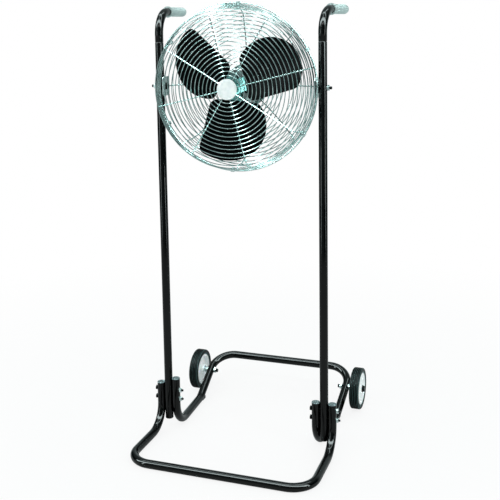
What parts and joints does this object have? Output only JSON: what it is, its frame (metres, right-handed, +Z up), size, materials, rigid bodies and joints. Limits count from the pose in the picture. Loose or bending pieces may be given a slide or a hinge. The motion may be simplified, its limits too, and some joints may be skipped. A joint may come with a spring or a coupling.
{
  "type": "industrial pedestal fan",
  "caption": "Wheeled industrial fan: a wire-guarded propeller head tilts between two black tube posts with bent handles on a tube base.",
  "frame": {"origin": "on the floor, under the middle of the part's bounding box", "axes": "+Z up, along the posts; -Y the way the air blows; +X the fan's left side seen from behind, so right in a view from the front"},
  "size_m": [0.6986, 0.7726, 1.5251],
  "materials": {
    "black_paint": "gloss black powder coat on steel tube",
    "grip_vinyl": "moulded light grey vinyl",
    "cap_plastic": "moulded grey polyethylene",
    "plug_plastic": "moulded black plastic",
    "black_steel": "black oxide on steel fasteners",
    "zinc_steel": "bright zinc plate on steel",
    "chrome_wire": "bright chrome plate on welded steel wire",
    "tyre_rubber": "black rubber with round grooves",
    "hub_plastic": "white moulded plastic",
    "badge_plastic": "white domed plastic",
    "friction_washer": "black friction washer",
    "motor_steel": "grey painted steel shell",
    "bell_aluminium": "die-cast aluminium",
    "lamination": "stacked electrical steel",
    "winding_copper": "varnished copper winding",
    "bearing_steel": "ground steel",
    "blade_black": "gloss black paint on aluminium sheet",
    "spider_zinc": "zinc plated steel with a cool tint",
    "switch_plastic": "pale moulded plastic",
    "knob_plastic": "glossy black plastic",
    "box_plastic": "textured black plastic",
    "capacitor_can": "drawn aluminium can"
  },
  "bodies": {
    "frame": {"post_left": "black_paint", "post_right": "black_paint", "handle_tube_left": "black_paint", "handle_tube_right": "black_paint", "grip_left": "grip_vinyl", "grip_right": "grip_vinyl", "front_base_frame": "black_paint", "rear_base_frame": "black_paint", "upright_caps": "cap_plastic", "post_plugs": "plug_plastic", "frame_bolts": "black_steel", "frame_nuts": "zinc_steel", "glide_feet": "plug_plastic", "axle_bolts": "black_steel", "axle_washers": "black_steel", "axle_nuts": "zinc_steel", "axle_spacers": "zinc_steel", "pivot_bolts": "black_steel", "pivot_washers": "friction_washer", "pivot_nuts": "zinc_steel"},
    "head": {"head_bracket_left": "zinc_steel", "head_bracket_right": "zinc_steel", "front_guard": "chrome_wire", "rear_guard": "chrome_wire", "rim_clip_straps": "zinc_steel", "rim_clip_screws": "zinc_steel", "badge": "badge_plastic", "badge_clamp": "zinc_steel", "motor_plate": "zinc_steel", "motor_plate_screws": "zinc_steel", "motor_shell": "motor_steel", "motor_front_bell": "bell_aluminium", "motor_rear_bell": "bell_aluminium", "motor_through_bolts": "zinc_steel", "stator_core": "lamination", "stator_windings": "winding_copper", "front_bearing": "bearing_steel", "rear_bearing": "bearing_steel", "switch_box": "box_plastic", "switch_box_screws": "black_steel", "rotary_switch": "switch_plastic", "capacitor": "capacitor_can", "cord_gland": "plug_plastic"},
    "propeller": {"motor_shaft": "bearing_steel", "rotor": "lamination", "blade_spider": "spider_zinc", "spider_set_screw": "black_steel", "blade_1": "blade_black", "blade_2": "blade_black", "blade_3": "blade_black", "blade_rivets": "zinc_steel"},
    "wheel_left": {"tyre_left": "tyre_rubber", "wheel_hub_left": "hub_plastic", "wheel_bushing_left": "bearing_steel"},
    "wheel_right": {"tyre_right": "tyre_rubber", "wheel_hub_right": "hub_plastic", "wheel_bushing_right": "bearing_steel"},
    "knob": {"speed_knob": "knob_plastic"}
  },
  "joints": [
    {"name": "head_tilt", "type": "hinge", "parent": "frame", "child": "head", "pos_m": [0, -0.086, 1.243], "axis": [1, 0, 0], "range_deg": [-15, 15]},
    {"name": "propeller_spin", "type": "hinge", "parent": "head", "child": "propeller", "pos_m": [0, -0.086, 1.243], "axis": [0, 1, 0], "continuous": true},
    {"name": "wheel_left_spin", "type": "hinge", "parent": "frame", "child": "wheel_left", "pos_m": [-0.3223, 0.2876, 0.076], "axis": [1, 0, 0], "continuous": true},
    {"name": "wheel_right_spin", "type": "hinge", "parent": "frame", "child": "wheel_right", "pos_m": [0.3223, 0.2876, 0.076], "axis": [1, 0, 0], "continuous": true},
    {"name": "knob_turn", "type": "hinge", "parent": "head", "child": "knob", "pos_m": [0, 0.034, 1.251], "axis": [0, -1, 0], "range_deg": [0, 135]}
  ]
}
